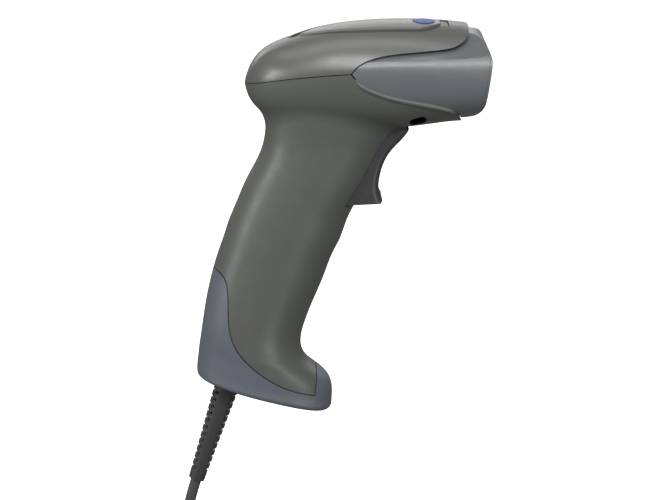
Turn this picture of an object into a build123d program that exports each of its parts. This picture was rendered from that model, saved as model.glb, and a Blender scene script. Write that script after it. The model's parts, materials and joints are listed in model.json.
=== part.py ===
"""Handheld gun-type barcode scanner: casings, trigger, scan engine, boards and a corded lead.

Frame: origin in the middle of the grip, +X towards the scanning nose, +Z up, and the
scanner's two sides at -Y and +Y. Millimetres. Each piece is written to parts/ as one node.
"""
from build123d import *
import math
import os

# ---- casings ------------------------------------------------------------------------
WALL = 2.2                   # casing wall
SEAM = 0.4                   # open seam between two casings
NECK_BLEND = 13.0            # blend radius where the head meets the grip
BASE_ROUND = 2.2             # edge round of the grip's flat base
BEZEL_WALL = 2.0
BEZEL_CLEARANCE = 0.3        # air between the nose bezel and the top cover that overlaps it
FRONT_FRAME = 1.2            # thickness of the frame on the nose's front
LAP_DEPTH, LAP_WIDTH, LAP_GAP = 1.25, 1.6, 0.15   # the base cover's tongue behind its seam
LAP_TOP = 0.0                # the tongue lies below this height
HOOD_LAP, HOOD_LAP_FROM = 3.0, 46.0   # the bezel's flange under the hood, and where it starts

# Head stations: X, half width, height of the widest line, rim half width, rim height,
# crown height and keel height.
HEAD = [
    (-16.4, 4.4, 64.9, 2.2, 67.1, 67.5, 60.6),
    (-14.2, 9.0, 65.6, 4.6, 72.0, 72.6, 56.0),
    (-10.8, 13.0, 66.5, 6.6, 76.2, 77.0, 52.4),
    (-6.0, 16.6, 67.8, 8.2, 79.4, 80.3, 49.6),
    (3.0, 21.0, 69.6, 10.0, 82.8, 84.0, 47.4),
    (14.0, 24.4, 71.4, 12.2, 85.9, 87.3, 46.0),
    (28.0, 27.2, 72.8, 14.4, 87.8, 89.7, 45.0),
    (45.0, 29.6, 73.2, 16.6, 88.3, 90.7, 44.6),
    (62.0, 31.4, 73.2, 17.2, 87.9, 90.5, 46.4),
    (78.0, 32.6, 73.2, 17.2, 86.5, 89.2, 48.0),
    (94.0, 33.4, 73.2, 17.0, 84.6, 87.2, 50.0),
]
HEAD_TAIL = (-17.2, 64.6)            # X and Z of the head's rearmost point
SIDE_FULL, KEEL_FULL = 0.55, 0.66    # fullness of the arcs above and below the widest line

# Nose bezel stations: X, half width, height of the widest line, crease half width, crease
# height, crown height and keel height.
NOSE = [
    (22.0, 26.0, 71.0, 24.8, 76.4, 86.2, 46.4),
    (40.0, 28.2, 70.8, 26.8, 77.4, 88.0, 46.4),
    (56.0, 29.8, 70.6, 28.0, 78.4, 88.6, 47.4),
    (70.0, 31.0, 70.4, 28.7, 79.3, 88.0, 48.8),
    (82.0, 32.0, 70.2, 29.3, 80.1, 86.8, 50.2),
    (96.0, 33.0, 70.0, 29.9, 81.0, 85.0, 52.4),
]
NOSE_RIM, NOSE_CROWN = 15.4, 2.5     # half width of the nose's crown and its rise
SHOULDER_LEAN = 1.4                  # how far the shoulder leans in above the crease

# Grip stations: X and Z of the rear point, X and Z of the front point, half width and the
# fullness of the front. The first lies in the base plane, and the sections level out towards the neck.
GRIP = [
    (-39.0, -67.5, 20.6, -83.5, 18.9, 0.72),
    (-39.2, -63.0, 20.6, -78.5, 19.1, 0.72),
    (-38.8, -59.5, 20.7, -75.0, 19.2, 0.71),
    (-38.4, -56.0, 20.2, -71.4, 19.3, 0.69),
    (-38.1, -53.5, 18.8, -68.6, 19.3, 0.66),
    (-37.7, -51.0, 15.8, -65.7, 19.4, 0.63),
    (-37.3, -48.5, 12.0, -62.8, 19.4, 0.61),
    (-36.9, -45.5, 8.9, -59.4, 19.3, 0.59),
    (-36.2, -41.0, 6.9, -54.2, 19.2, 0.58),
    (-34.9, -33.0, 8.0, -45.5, 19.0, 0.58),
    (-33.2, -25.0, 11.0, -37.0, 18.9, 0.58),
    (-31.1, -17.0, 14.8, -28.0, 18.8, 0.58),
    (-28.5, -9.0, 18.3, -19.0, 18.7, 0.58),
    (-25.8, -1.0, 22.0, -10.0, 18.6, 0.58),
    (-22.8, 7.0, 26.2, 0.0, 18.5, 0.58),
    (-19.5, 15.0, 31.0, 10.5, 18.4, 0.58),
    (-15.8, 23.0, 37.2, 20.5, 18.4, 0.58),
    (-11.6, 31.0, 42.6, 31.0, 18.4, 0.58),
    (-8.9, 39.5, 49.0, 41.5, 18.8, 0.58),
    (-7.9, 48.0, 54.0, 51.0, 19.8, 0.58),
    (-8.4, 60.0, 58.0, 62.0, 21.0, 0.58),
]
REAR_FULL = 0.62

# Side outlines of the seams, as X and Z points. Each runs on past where it is used.
PARTING = [(-30.0, 61.0), (-17.0, 64.6), (-8.0, 67.2), (7.0, 70.3), (28.0, 72.7), (44.0, 73.6)]
HOOD_EDGE = [(24.0, 64.0), (26.2, 69.2), (28.0, 72.7), (30.4, 75.6), (34.0, 77.8), (42.0, 80.2),
             (52.6, 81.5), (65.3, 82.5), (72.0, 83.4), (76.2, 85.1), (78.8, 87.4), (80.2, 91.0),
             (80.6, 100.0)]
CHEEK_EDGE = [(23.0, 82.0), (25.4, 76.8), (28.0, 72.7), (32.2, 68.4), (40.0, 64.7), (48.5, 62.2),
              (57.0, 60.4), (65.6, 58.6), (70.8, 56.9), (74.0, 54.4), (75.6, 51.5), (75.8, 40.0)]
BOOT_EDGE = [(-48.0, -14.0), (-31.0, -17.8), (-27.2, -19.8), (-25.4, -25.6), (-25.2, -36.5),
             (-24.7, -43.0), (-22.8, -49.4), (-18.8, -55.6), (-12.6, -61.6), (-6.2, -66.2),
             (3.3, -70.8), (12.6, -73.6), (24.0, -76.6)]
TOE_EDGE = [(11.6, -90.0), (12.6, -73.6), (13.4, -66.0), (12.6, -54.0)]
NOSE_TOP_CORNER, NOSE_LOW_CORNER = (88.9, 85.4), (84.1, 51.6)
NOSE_TOP_ROUND, NOSE_LOW_ROUND = 8.5, 14.5

# ---- top panel and light ------------------------------------------------------------
PANEL = [(7.0, 0.0), (14.0, 4.4), (24.0, 7.8), (38.0, 9.8), (52.0, 10.4), (61.0, 8.8),
         (66.0, 4.8), (67.2, 0.0)]          # near edge of the inner panel, X and half width
SURROUND = [(1.4, 0.0), (8.0, 6.0), (16.0, 9.8), (26.0, 12.8), (38.0, 14.6), (51.0, 15.3),
            (62.0, 13.4), (68.8, 8.2), (71.0, 0.0)]
INSET_DEPTH = 1.7            # pocket in the top cover that holds the panel and its surround
SURROUND_DROP = 0.7          # the surround lies this much below the panel
LIGHT_X, LIGHT_LENGTH, LIGHT_WIDTH = 60.3, 9.4, 11.6

# ---- trigger ------------------------------------------------------------------------
PIVOT = (46.6, 49.6)         # X and Z of the trigger's hinge pin
PIN_R, PIN_LENGTH = 1.25, 28.2
PIN_CLEARANCE = 0.06
TRIGGER_HALF, SLOT_HALF = 11.0, 11.5
TRIGGER_WALL = 2.0
TRIGGER_FRONT = [(53.8, 44.6), (50.2, 39.6), (46.6, 35.8), (43.2, 30.4), (41.3, 24.4),
                 (40.7, 19.4), (41.3, 15.6), (42.4, 13.2)]
TRIGGER_TOE = [(41.6, 12.0), (24.2, 11.3)]
TRIGGER_REAR = [(25.0, 15.4), (30.6, 22.0), (36.6, 33.0), (36.6, 39.0), (42.6, 46.4)]
TRIGGER_POCKET = [(22.0, 13.6), (38.2, 13.6), (38.2, 20.0), (40.4, 29.6), (44.4, 36.4),
                  (41.0, 42.0), (22.0, 42.0)]
TRIGGER_SLOT = [(18.0, 10.8), (62.0, 10.8), (62.0, 43.4), (54.8, 43.4), (54.8, 52.0),
                (34.0, 52.0), (18.0, 34.0)]
TRIGGER_EDGE = 3.0                   # round of the finger face's two long edges
LUG_Y, LUG_R = (5.0, 10.6), 3.0
LUG_WEB = [(53.2, 43.8), (44.0, 38.0)]    # where each lug's web runs into the trigger
EAR_X, EAR_Y, EAR_Z = (42.1, 50.6), (11.9, 14.1), (42.0, 53.6)    # the pin's ears in the housing
SPRING_R, SPRING_WIRE, SPRING_PITCH, SPRING_TURNS = 2.3, 0.6, 0.9, 4
SPRING_LEGS = (4.0, 4.5)             # the leg on the trigger and the leg on the casing
LEG_THINNING = 0.02                  # keeps the legs' surfaces off the coil's

# ---- trigger switch -----------------------------------------------------------------
SWITCH_Z, SWITCH_FRONT = 36.0, 32.6
SWITCH_HALF, SWITCH_BORE = (6.4, 3.0), 4.0    # half width and height, and its bore's depth
PAD_X, PAD_HALF = (36.2, 45.4), (3.0, 2.5)    # the trigger's pad that presses the plunger
PLUNGER_R, PLUNGER_GAP, PLUNGER_IN, PLUNGER_CLEARANCE = 1.5, 0.3, 2.2, 0.15
SWITCH_BOARD_X, SWITCH_BOARD_HALF, SWITCH_BOARD_Z = 24.5, 9.0, (24.0, 45.0)
RAIL_Y, RAIL_Z, RAIL_LIP = (8.4, 22.0), (27.0, 42.0), 1.5    # the rails that hold its board
GROOVE_GAP = (0.1, 0.2)              # air at the board's faces and at its edges

# ---- eyelet, window, screws, engine and board ---------------------------------------
EYELET, EYELET_SIZE, EYELET_TILT, EYELET_WALL = (56.9, 50.9), (7.6, 4.2), 20.0, 1.4
WINDOW_OPENING, WINDOW_CORNER = (46.0, 20.0), 4.0
WINDOW_THICK, WINDOW_LAP, GASKET_THICK = 1.6, 1.6, 1.2
BEZEL_FRONT = 3.2            # depth of the bezel's front wall, with the frame over it
SCREW_R, SCREW_HEAD_R, SCREW_HEAD, POST_R = 1.1, 2.2, 1.3, 2.8
CROSS_LONG, CROSS_WIDE, CROSS_DEPTH = 2.6, 0.6, 0.7
POST_Z, POST_BORE_Z = 60.0, 64.0     # the foot of each board post and of its bore
WEB_HALF, WEB_TOP = 1.0, 68.0
BOARD_SCREW, BASE_SCREW = 9.0, 10.0  # shank lengths
BASE_POST, BASE_BORE = 16.0, 14.0    # depths from the flat base
BASE_WEB_Z = (-68.5, -62.5)
HEAD_SCREWS = [(18.0, -10.5), (18.0, 10.5), (34.0, -15.5), (34.0, 15.5)]
BASE_SCREW_AT, SCREW_RECESS = 42.0, 1.4   # along the base from its rear edge, and depth
ENGINE_X, ENGINE_Z = (50.0, 74.0), 68.0
ENGINE_HALF, ENGINE_WALL = (17.0, 8.5), 2.0
BARREL_R, LENS_R, LED_R, LED_Y = 5.6, 4.6, 2.4, (-12.0, 12.0)
BARREL_REACH, LENS_REACH = (10.0, 3.0), (0.6, 2.0)    # behind and before the engine's face
LENS_ROUND, LENS_GAP = 1.4, 0.05
LED_BACK, LED_STAND = 2.8, 0.2       # behind the engine's face, and before it
SMALL_BOARD, SMALL_GAP = 1.4, 0.2    # thickness of the engine's boards and the air round them
SENSOR = (1.3, 4.0, 3.2)             # thickness, half width and half height
BRACKET_X, BRACKET_HALF, BRACKET_Z, BRACKET_THICK = (44.0, 74.0), 19.0, 56.6, 1.6
LEG_X, LEG_Y, LEG_R = (52.5, 71.5), 14.0, 2.0
FOOT_X, FOOT_Y, FOOT_Z = (55.5, 59.5), (14.5, 17.5), 54.0
BOARD_Z, BOARD_THICK = 79.0, 1.6
BOARD_HALF = [(8.0, 9.0), (16.0, 14.0), (26.0, 18.5), (64.0, 18.5)]    # X and half width
CHIPS = [(44.0, -8.0, 6.0, 6.0), (42.0, 8.0, 4.0, 5.0), (55.5, 7.0, 2.5, 3.0), (25.0, -4.0, 2.5, 4.0)]
CHIP_HIGH = 1.1
CONNECTORS = [(43.0, 48.0, 8.0, 2.4), (8.5, 13.0, 6.0, 3.2)]    # X from and to, half width, height
BUZZER, BUZZER_R, BUZZER_HIGH = (27.0, 7.6), 5.0, 2.6
LAMP = (1.8, 1.4, 1.6)               # half length, half width and height

# ---- lead ---------------------------------------------------------------------------
CORD_D = 4.8
OUTLET_R = 6.4
RELIEF_LEAN = 18.0           # the lead leaves the base this many degrees behind vertical
RELIEF_ROOT = (-25.3, -71.0) # X and Z where the strain relief leaves the base
RELIEF_LENGTH = 48.0
RELIEF_ROOT_D, RELIEF_TIP_D = 11.8, 7.2
RELIEF_NOTCHES, NOTCH_FROM, NOTCH_SHARE = 12, 4.0, 0.45   # where they start, and cut per pitch
NOTCH_REACH, NOTCH_DEEP = 0.8, 0.35  # half length and floor, as shares of the sleeve's radius
RELIEF_INSIDE, COLLAR, COLLAR_WIDER = 6.0, (2.5, 2.6), 1.4   # the collar's depth and thickness
TABLE_Z = -207.0             # the surface that the put-away lead lies on
COIL_CENTRE = (-9.0, 32.0)
COIL_COLUMNS, COIL_LAYERS = 3, 4
COIL_MEAN_R = 27.0
TIE_THICK, TIE_WIDTH, TIE_ANGLE = 0.9, 5.0, 250.0
TIE_GAP = 0.1                # air between the tie and the coil
COIL_BASE = TABLE_Z + TIE_THICK + TIE_GAP
TIE_LOCK = (4.0, 6.0, 1.4)    # the lock's thickness and height, and how much wider than the tie
PLUG_GRIP, PLUG_SHELL = (26.0, 14.0, 8.0), (12.0, 12.0, 4.5)
PLUG_ROUND, PLUG_SLEEVE, SLEEVE_GAP = 1.8, (5.0, 1.2), 0.05   # sleeve's length and wall
SHELL_SHEET, SHELL_BACK = 0.35, 0.6  # sheet thickness and the closed back end
CONTACTS = (2.0, 1.0, 1.8, 0.8)      # shorter and narrower than the shell, thickness and height
SOCKET_OUTSIDE, SOCKET_POCKET = (16.0, 13.0), (11.7, 8.0)
SOCKET_MOUTH, SOCKET_LENGTH = -14.0, 20.0
SOCKET_GAP, SOCKET_BACK = 0.4, 3.0
CABLE_PLUG_AT, CABLE_PLUG_SHORTER = 8.0, 2.0
HARNESS, FLEX = (9.0, 1.4), (12.0, 0.4)
HARNESS_ROUTE, HARNESS_BEND = [(-9.5, -20.0), (1.0, 20.0), (10.0, 48.0), (10.8, 75.7)], 9.0
FLEX_ROUTE, FLEX_BEND = [(50.0, 69.5), (45.5, 69.5), (45.5, 76.5)], 2.0

os.makedirs("parts", exist_ok=True)


# ---- geometry helpers ---------------------------------------------------------------
def arc_edge(start, end, corner, full):
    """A cubic arc from start to end that bulges towards corner by the given fullness."""
    return Bezier(start, start + (corner - start) * full, end + (corner - end) * full, end)


def only_solid(shape):
    """The largest solid of a boolean's result."""
    return max(shape.solids(), key=lambda s: s.volume)


def block(x0, x1, y0, y1, z0, z1):
    """A box between two corners."""
    return Pos((x0 + x1) / 2, (y0 + y1) / 2, (z0 + z1) / 2) * Box(x1 - x0, y1 - y0, z1 - z0)


def rod(start, end, radius):
    """A cylinder between two points."""
    a, b = Vector(*start), Vector(*end)
    return Solid.make_cylinder(radius, (b - a).length, Plane(origin=a, z_dir=b - a))


def shifted(points, dx, dz):
    return [(x + dx, z + dz) for x, z in points]


def side_face(curve, rest):
    """A face in the XZ plane: a spline through the curve's points, then straight edges."""
    first = Spline([Vector(x, 0, z) for x, z in curve])
    tail = Polyline([Vector(x, 0, z) for x, z in [curve[-1]] + rest + [curve[0]]])
    return Face(Wire([first] + list(tail.edges())))


def side_polygon(points):
    """A polygon in the XZ plane."""
    return Face(Wire.make_polygon([Vector(x, 0, z) for x, z in points]))


def across(face, half=60.0):
    """A prism across the scanner, from -Y to +Y."""
    return extrude(face, amount=half, dir=(0, 1, 0), both=True)


def save(name, shape):
    solids = shape.solids()
    export_step(solids[0] if len(solids) == 1 else Compound(solids), f"parts/{name}.step")


# ---- skins --------------------------------------------------------------------------
def head_section(x, w, zw, p, zp, zt, zb):
    """A head section: a low crown between two rims, two side arcs and a full keel."""
    left, right = Vector(x, w, zw), Vector(x, -w, zw)
    rim_l, rim_r = Vector(x, p, zp), Vector(x, -p, zp)
    rise = (zt - zp) * 4 / 3
    drop = (w - p) * 0.42
    keel = Vector(x, 0, zb)
    return Wire([
        arc_edge(left, rim_l, Vector(x, w, zp - drop), SIDE_FULL),
        Bezier(rim_l, Vector(x, p / 3, zp + rise), Vector(x, -p / 3, zp + rise), rim_r),
        arc_edge(rim_r, right, Vector(x, -w, zp - drop), SIDE_FULL),
        arc_edge(right, keel, Vector(x, -w, zb), KEEL_FULL),
        arc_edge(keel, left, Vector(x, w, zb), KEEL_FULL),
    ])


def head_solid(inset=0.0):
    """The head as one closed skin, drawn in all round by the inset."""
    sections = [
        head_section(x, w - inset, zw, max(p - inset / 2, p / 2), zp - inset, zt - inset, zb + inset)
        for x, w, zw, p, zp, zt, zb in HEAD if w > 2 * inset
    ]
    if inset < 1:
        sections = [Vertex(HEAD_TAIL[0] + inset, 0, HEAD_TAIL[1])] + sections
    return Solid.make_loft(sections)


def nose_section(x, w, zw, wc, zc, zt, zb):
    """A nose section: a low crown, leaning shoulders down to a sharp crease, cheeks and keel."""
    crease_l, crease_r = Vector(x, wc, zc), Vector(x, -wc, zc)
    left, right = Vector(x, w, zw), Vector(x, -w, zw)
    rim_z, keel = zt - NOSE_CROWN, Vector(x, 0, zb)
    rim_l, rim_r = Vector(x, NOSE_RIM, rim_z), Vector(x, -NOSE_RIM, rim_z)
    corner = rim_z - (wc - NOSE_RIM) * 0.42
    lean = zc - (w - wc) * 1.2
    rise = NOSE_CROWN * 4 / 3
    return Wire([
        arc_edge(left, crease_l, Vector(x, w, lean), 0.6),
        arc_edge(crease_l, rim_l, Vector(x, wc - SHOULDER_LEAN, corner), 0.5),
        Bezier(rim_l, Vector(x, NOSE_RIM / 3, rim_z + rise), Vector(x, -NOSE_RIM / 3, rim_z + rise), rim_r),
        arc_edge(rim_r, crease_r, Vector(x, -wc + SHOULDER_LEAN, corner), 0.5),
        arc_edge(crease_r, right, Vector(x, -w, lean), 0.6),
        arc_edge(right, keel, Vector(x, -w, zb), KEEL_FULL),
        arc_edge(keel, left, Vector(x, w, zb), KEEL_FULL),
    ])


def nose_solid(inset=0.0):
    """The nose bezel's skin, drawn in all round by the inset."""
    return Solid.make_loft([
        nose_section(x, w - inset, zw, wc - inset, zc - inset / 2, zt - inset, zb + inset)
        for x, w, zw, wc, zc, zt, zb in NOSE
    ])


def nose_outline(inset=0.0):
    """A prism over the nose's side outline, with its two rounded front corners, drawn in."""
    face = side_polygon([(10, 95), NOSE_TOP_CORNER, NOSE_LOW_CORNER, (10, 30)])
    for (x, z), radius in ((NOSE_TOP_CORNER, NOSE_TOP_ROUND), (NOSE_LOW_CORNER, NOSE_LOW_ROUND)):
        near = min(face.vertices(), key=lambda v: (v.X - x) ** 2 + (v.Z - z) ** 2)
        face = face.fillet_2d(radius, [near])
    return across(offset(face, -inset) if inset else face)


def grip_section(rx, rz, fx, fz, half, full, lift=0.0, inset=0.0):
    """A grip section in the plane through its rear and front points, lifted and drawn in."""
    rear, front = Vector(rx, 0, rz), Vector(fx, 0, fz)
    along = (front - rear).normalized()
    up = Vector(-along.Z, 0, along.X) * lift
    rear, front = rear + along * inset + up, front - along * inset + up
    middle, side = (rear + front) / 2, Vector(0, half - inset, 0)
    return Wire([
        arc_edge(front, middle + side, front + side, full),
        arc_edge(middle + side, rear, rear + side, REAR_FULL),
        arc_edge(rear, middle - side, rear - side, REAR_FULL),
        arc_edge(middle - side, front, front - side, full),
    ])


def grip_solid(inset=0.0):
    """The grip and neck, from the base plane up into the head."""
    foot = grip_section(*GRIP[0], lift=inset, inset=inset)
    return Solid.make_loft([foot] + [grip_section(*s, inset=inset) for s in GRIP[1:]])


def outer_skin():
    """Head and grip in one, blended at the neck and rounded round the base."""
    grip = grip_solid()
    grip = grip.fillet(BASE_ROUND, [e for e in grip.edges() if e.bounding_box().max.Z < -60])
    half = only_solid((head_solid() + grip) & block(-200, 200, 0, 200, -200, 200))
    neck = [e for e in half.edges()
            if e.bounding_box().min.Z > 38 and e.bounding_box().max.Z < 57
            and e.bounding_box().max.Y > 15]
    half = half.fillet(NECK_BLEND, neck)
    return only_solid(half + half.mirror(Plane.XZ))


# ---- zones that divide the skins ----------------------------------------------------
def zone(curve, shift, corners):
    """A prism on one side of a seam: the curve, moved by shift, then the far corners."""
    return across(side_face(shifted(curve, *shift), corners))


def cover_zone(d):
    """What belongs to the top cover, drawn back from its seams by d."""
    above = zone(PARTING, (0, d), [(100, 73.6 + d), (100, 120), (-60, 120), (-60, 61 + d)])
    behind = zone(HOOD_EDGE, (-d, d), [(-60, 100), (-60, 40), (24 - d, 40)])
    return above & behind


def cheek_zone(d, under_hood=0.0):
    """What belongs to the nose bezel, drawn back from its seams by d."""
    hood = d - under_hood
    below = zone(HOOD_EDGE, (hood, -hood), [(130, 100 - hood), (130, 20), (24 + hood, 20)])
    above = zone(CHEEK_EDGE, (d, d), [(130, 40 + d), (130, 120), (23 + d, 120)])
    return below & above


def boot_zone(d):
    """What belongs to the base cover, drawn back from its seams by d."""
    below = zone(BOOT_EDGE, (-d, -d), [(24 - d, -120), (-60, -120), (-60, -14 - d)])
    toe = zone(TOE_EDGE, (d, 0), [(50, -54), (50, -90)])
    return below + toe


def plan_prism(points, z0, z1):
    """An upright prism over a shape mirrored about the X axis, pointed at its rear end."""
    near = [Vector(x, -y, z0) for x, y in points]
    far = [Vector(x, y, z0) for x, y in points]
    nose = Vector(0, 1, 0)
    rear = (near[1] - near[0]).normalized()
    edge_n = Spline(near, tangents=[rear, nose])
    edge_f = Spline(far, tangents=[Vector(rear.X, -rear.Y, 0), -nose])
    return extrude(Face(Wire([edge_n, edge_f])), amount=z1 - z0, dir=(0, 0, 1))


# ---- casings ------------------------------------------------------------------------
def eyelet_prism(grow=0.0, half=40.0):
    """The hanging slot across the chin, tilted up towards the nose."""
    tilt = math.radians(EYELET_TILT)
    plane = Plane(origin=(EYELET[0], 0, EYELET[1]), x_dir=(math.cos(tilt), 0, math.sin(tilt)),
                  z_dir=(0, -1, 0))
    slot = SlotOverall(EYELET_SIZE[0] + 2 * grow, EYELET_SIZE[1] + 2 * grow)
    return extrude(plane * slot, amount=half, both=True)


def trigger_slot():
    """The opening down the front of the neck that the trigger works in."""
    return across(side_polygon(TRIGGER_SLOT), SLOT_HALF)


def make_housing(shell, skin):
    """The lower head and grip, in one moulding, with its bosses, pin ears and eyelet sleeve."""
    housing = shell - cover_zone(-SEAM / 2) - cheek_zone(-SEAM / 2) - boot_zone(-SEAM / 2)
    housing = only_solid(housing - trigger_slot() - lap_ring(LAP_DEPTH - LAP_GAP, LAP_WIDTH + LAP_GAP))
    inner = skin - cover_zone(-SEAM) - cheek_zone(-SEAM / 2) - boot_zone(-SEAM)
    sleeve = eyelet_prism(EYELET_WALL, 32.0) & inner
    housing = housing + only_solid(sleeve) - eyelet_prism()
    for rib in housing_ribs(inner):
        housing += rib
    return only_solid(housing)


def housing_ribs(inner):
    """The pin ears, the switch board's grooved rails and the main board's screw posts."""
    px, pz = PIVOT
    ribs = [base_post(inner)]
    rear, front = SWITCH_BOARD_X, SWITCH_BOARD_X + BOARD_THICK
    face_gap, edge_gap = GROOVE_GAP
    half = SWITCH_BOARD_HALF + edge_gap
    groove = block(rear - face_gap, front + face_gap, -half, half, *SWITCH_BOARD_Z)
    for side in (-1, 1):
        ear = block(*EAR_X, *sorted(side * y for y in EAR_Y), *EAR_Z) & inner
        ribs.append(ear - rod((px, -PIN_LENGTH, pz), (px, PIN_LENGTH, pz), PIN_R))
        rail = block(rear - RAIL_LIP, front + RAIL_LIP, *sorted(side * y for y in RAIL_Y), *RAIL_Z)
        ribs.append((rail & inner) - groove)
    for x, y in HEAD_SCREWS:
        web = block(x - WEB_HALF, x + WEB_HALF, *sorted((y, y * 3)), POST_Z, WEB_TOP) & inner
        post = rod((x, y, POST_Z), (x, y, BOARD_Z), POST_R) + web
        ribs.append(post - rod((x, y, POST_BORE_Z), (x, y, BOARD_Z + 1), SCREW_R))
    return ribs


def base_plane(depth=0.0):
    """The plane of the flat base at its screw, the given depth inside, facing down and out."""
    rear, front = Vector(GRIP[0][0], 0, GRIP[0][1]), Vector(GRIP[0][2], 0, GRIP[0][3])
    along = (front - rear).normalized()
    out = Vector(along.Z, 0, -along.X)
    origin = rear + along * BASE_SCREW_AT - out * depth
    return Plane(origin=origin, x_dir=(0, 1, 0), z_dir=out)


def base_post(inner):
    """The post that the base screw bites into, on a web across the foot of the grip."""
    low, high, bored = (base_plane(depth).origin for depth in (WALL + 0.3, BASE_POST, BASE_BORE))
    web = block(low.X - WEB_HALF, low.X + 1.5 * WEB_HALF, -30, 30, *BASE_WEB_Z) & inner
    post = rod(tuple(low), tuple(high), POST_R) + web
    return post - rod(tuple(low), tuple(bored), SCREW_R)


def lap_ring(depth, width):
    """The inner half of the grip's wall, on the base cover's side of a line past its seam."""
    wall = grip_solid(depth) - grip_solid(WALL)
    return only_solid(wall & boot_zone(-width) & block(-60, 60, -40, 40, -90, LAP_TOP))


def make_boot(shell):
    """The base cover: the rear of the grip, its flat foot and the toe, with the lead's outlet."""
    boot = only_solid((shell & boot_zone(SEAM / 2)) + lap_ring(LAP_DEPTH, LAP_WIDTH))
    out = relief_plane()
    boot -= Plane(out.origin - out.z_dir * 12, z_dir=out.z_dir) * Cylinder(OUTLET_R, 60)
    for radius, depth in ((SCREW_R + 0.2, 4.0), (SCREW_HEAD_R + 0.3, SCREW_RECESS)):
        boot -= base_plane() * Cylinder(radius, 2 * depth)
    return only_solid(boot)


def front_half(depth):
    """Everything in front of a plane the given depth behind the nose's front."""
    return extrude(nose_front(depth) * Rectangle(200, 200), amount=60)


def make_bezel():
    """The nose bezel: a hollow ring round the scan engine, with a flange under the hood."""
    body = (nose_solid() & nose_outline()) - front_half(FRONT_FRAME + 0.1)
    body -= nose_solid(BEZEL_WALL) & nose_outline(BEZEL_FRONT)
    body -= extrude(nose_front(20) * window_shape(WINDOW_LAP + 0.4), amount=40)
    flange = block(HOOD_LAP_FROM, 120, -60, 60, 0, 120) & cheek_zone(0, HOOD_LAP)
    return only_solid((body & cheek_zone(SEAM / 2)) + (body & flange))


def make_cover(shell):
    """The top cover, thinned where it laps the bezel, with a pocket for the inset panel."""
    lap = block(HOOD_LAP_FROM - 1, 120, -60, 60, 0, 120) & cheek_zone(0, HOOD_LAP + 0.6)
    cover = (shell & cover_zone(SEAM / 2)) - (nose_solid(-BEZEL_CLEARANCE) & lap)
    cover = only_solid(cover - (plan_prism(SURROUND, 70, 110) - head_solid(INSET_DEPTH)))
    return only_solid(cover - light_prism(0.15))


def light_prism(grow=0.0):
    """An upright oval prism round the status light."""
    oval = Ellipse(LIGHT_LENGTH / 2 + grow, LIGHT_WIDTH / 2 + grow)
    return Pos(LIGHT_X, 0, 84) * extrude(oval, amount=12)


def make_panel():
    """The inset panel, its lower surround and the status light set into it."""
    floor = head_solid(INSET_DEPTH - 0.05)
    inner = plan_prism(PANEL, 70, 110)
    gap = plan_prism([(PANEL[0][0] - 1.2, 0.0)] + [(x, y + 0.35) for x, y in PANEL[1:-1]]
                     + [(PANEL[-1][0] + 0.35, 0.0)], 70, 110)
    outer = plan_prism([(SURROUND[0][0] + 1.2, 0.0)] + [(x, y - 0.3) for x, y in SURROUND[1:-1]]
                       + [(SURROUND[-1][0] - 0.3, 0.0)], 70, 110)
    panel = only_solid(((head_solid(-0.1) - floor) & inner) - light_prism(0.1))
    surround = only_solid(((head_solid(SURROUND_DROP) - floor) & outer) - gap)
    lens = only_solid((head_solid(-0.4) - head_solid(WALL + 0.4)) & light_prism())
    return {"top_panel": panel, "panel_surround": surround, "status_light_lens": lens}


# ---- nose front ---------------------------------------------------------------------
def nose_front(depth):
    """The plane of the nose's front, the given depth behind its surface."""
    (tx, tz), (lx, lz) = NOSE_TOP_CORNER, NOSE_LOW_CORNER
    up = Vector(tx - lx, 0, tz - lz).normalized()
    out = Vector(up.Z, 0, -up.X)
    return Plane(origin=Vector((tx + lx) / 2, 0, (tz + lz) / 2) - out * depth, x_dir=(0, 1, 0), z_dir=out)


def window_shape(grow=0.0):
    """The window opening's rounded outline, made larger all round."""
    w, h = WINDOW_OPENING
    return RectangleRounded(w + 2 * grow, h + 2 * grow, WINDOW_CORNER + grow)


def make_front():
    """The frame on the nose's front, the window behind it and the gasket that seals them."""
    opening = extrude(nose_front(20) * window_shape(), amount=40)
    frame = (nose_solid() & nose_outline() & front_half(FRONT_FRAME)) - opening
    depth = FRONT_FRAME + WINDOW_THICK
    window = extrude(nose_front(depth) * window_shape(WINDOW_LAP), amount=WINDOW_THICK)
    ring = window_shape(WINDOW_LAP) - window_shape(-0.6)
    gasket = extrude(nose_front(depth + GASKET_THICK) * ring, amount=GASKET_THICK)
    return {"front_frame": only_solid(frame), "scan_window": window, "window_gasket": gasket}


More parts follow.
